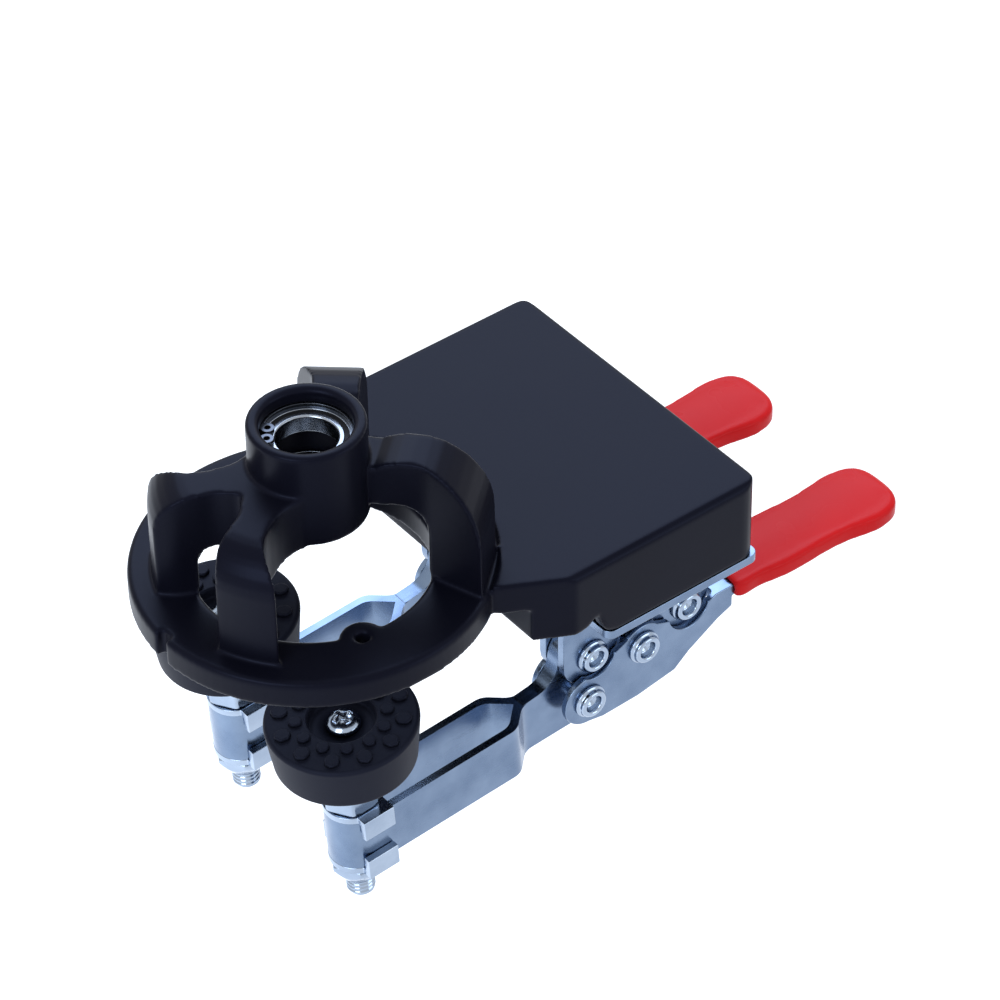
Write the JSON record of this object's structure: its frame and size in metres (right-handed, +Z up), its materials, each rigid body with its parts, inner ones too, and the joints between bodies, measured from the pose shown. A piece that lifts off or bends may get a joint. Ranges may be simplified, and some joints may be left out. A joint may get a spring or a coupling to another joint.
{
  "type": "concealed hinge drilling jig",
  "caption": "Drilling jig for concealed hinge cups: moulded guide ring and block with an arched bearing tower and push-up toggle clamps with rubber pads and dipped grips.",
  "frame": {"origin": "centre of the upper bearing's bore, on the drill's axis", "axes": "+X from the drill's axis towards the grips, +Y to the right clamp, +Z up along the drill's axis"},
  "size_m": [0.1675, 0.075, 0.1066],
  "materials": {
    "body_plastic": "fine moulded satin",
    "sheet_steel": "zinc plated, bluish",
    "bright_steel": "bright plated",
    "race_steel": "ground and polished",
    "spring_steel": "dark spring steel",
    "cage_brass": "pressed",
    "seal_rubber": "moulded",
    "pad_rubber": "moulded, matt",
    "grip_plastic": "dipped, soft gloss"
  },
  "bodies": {
    "root": {"jig_body": "body_plastic", "upper_outer_race": "race_steel", "upper_seals": "seal_rubber", "upper_circlip": "spring_steel", "lower_outer_race": "race_steel", "lower_seals": "seal_rubber", "lower_circlip": "spring_steel", "left_outer_bracket": "sheet_steel", "left_inner_bracket": "sheet_steel", "left_bracket_screws": "bright_steel", "left_arm_rivet": "bright_steel", "left_link_rivet": "bright_steel", "right_outer_bracket": "sheet_steel", "right_inner_bracket": "sheet_steel", "right_bracket_screws": "bright_steel", "right_arm_rivet": "bright_steel", "right_link_rivet": "bright_steel"},
    "left_arm_body": {"left_arm": "sheet_steel", "left_upper_washer": "bright_steel", "left_lower_washer": "bright_steel", "left_upper_nut": "bright_steel", "left_lower_nut": "bright_steel"},
    "left_spindle_body": {"left_spindle": "bright_steel", "left_pad": "pad_rubber"},
    "left_handle_body": {"left_handle": "sheet_steel", "left_grip": "grip_plastic", "left_handle_rivet": "bright_steel", "left_toggle_rivet": "bright_steel"},
    "left_link_body": {"left_link": "sheet_steel"},
    "right_arm_body": {"right_arm": "sheet_steel", "right_upper_washer": "bright_steel", "right_lower_washer": "bright_steel", "right_upper_nut": "bright_steel", "right_lower_nut": "bright_steel"},
    "right_spindle_body": {"right_spindle": "bright_steel", "right_pad": "pad_rubber"},
    "right_handle_body": {"right_handle": "sheet_steel", "right_grip": "grip_plastic", "right_handle_rivet": "bright_steel", "right_toggle_rivet": "bright_steel"},
    "right_link_body": {"right_link": "sheet_steel"},
    "upper_race_body": {"upper_inner_race": "race_steel"},
    "upper_cage_body": {"upper_cage": "cage_brass", "upper_balls": "race_steel"},
    "lower_race_body": {"lower_inner_race": "race_steel"},
    "lower_cage_body": {"lower_cage": "cage_brass", "lower_balls": "race_steel"}
  },
  "joints": [
    {"name": "left_clamp", "type": "hinge", "parent": "root", "child": "left_arm_body", "pos_m": [0.0503, -0.0196, -0.0666], "axis": [0, -1, 0], "range_deg": [0, 55]},
    {"name": "left_handle_pivot", "type": "hinge", "parent": "left_arm_body", "child": "left_handle_body", "pos_m": [0.0483, -0.0196, -0.0766], "axis": [0, 1, 0], "range_deg": [0, 91]},
    {"name": "left_link_pivot", "type": "hinge", "parent": "root", "child": "left_link_body", "pos_m": [0.0746, -0.0196, -0.0664], "axis": [0, -1, 0], "range_deg": [0, 67]},
    {"name": "left_spindle_height", "type": "slide", "parent": "left_arm_body", "child": "left_spindle_body", "axis": [-0.061, 0, 0.9981], "range_m": [-0.003, 0.006]},
    {"name": "right_clamp", "type": "hinge", "parent": "root", "child": "right_arm_body", "pos_m": [0.0503, 0.0196, -0.0666], "axis": [0, -1, 0], "range_deg": [0, 55]},
    {"name": "right_handle_pivot", "type": "hinge", "parent": "right_arm_body", "child": "right_handle_body", "pos_m": [0.0483, 0.0196, -0.0766], "axis": [0, 1, 0], "range_deg": [0, 91]},
    {"name": "right_link_pivot", "type": "hinge", "parent": "root", "child": "right_link_body", "pos_m": [0.0746, 0.0196, -0.0664], "axis": [0, -1, 0], "range_deg": [0, 67]},
    {"name": "right_spindle_height", "type": "slide", "parent": "right_arm_body", "child": "right_spindle_body", "axis": [-0.061, 0, 0.9981], "range_m": [-0.003, 0.006]},
    {"name": "upper_bearing_spin", "type": "hinge", "parent": "root", "child": "upper_race_body", "pos_m": [0, 0, 0], "axis": [0, 0, 1], "continuous": true},
    {"name": "upper_cage_spin", "type": "hinge", "parent": "root", "child": "upper_cage_body", "pos_m": [0, 0, 0], "axis": [0, 0, 1], "continuous": true},
    {"name": "lower_bearing_spin", "type": "hinge", "parent": "root", "child": "lower_race_body", "pos_m": [0, 0, -0.0106], "axis": [0, 0, 1], "continuous": true},
    {"name": "lower_cage_spin", "type": "hinge", "parent": "root", "child": "lower_cage_body", "pos_m": [0, 0, -0.0106], "axis": [0, 0, 1], "continuous": true}
  ],
  "couplings": [
    {"joint": "left_handle_pivot", "follows": "left_clamp", "ratio": 1.65},
    {"joint": "left_link_pivot", "follows": "left_clamp", "ratio": 1.21},
    {"joint": "right_handle_pivot", "follows": "right_clamp", "ratio": 1.65},
    {"joint": "right_link_pivot", "follows": "right_clamp", "ratio": 1.21},
    {"joint": "upper_cage_spin", "follows": "upper_bearing_spin", "ratio": 0.447},
    {"joint": "lower_cage_spin", "follows": "lower_bearing_spin", "ratio": 0.447}
  ]
}
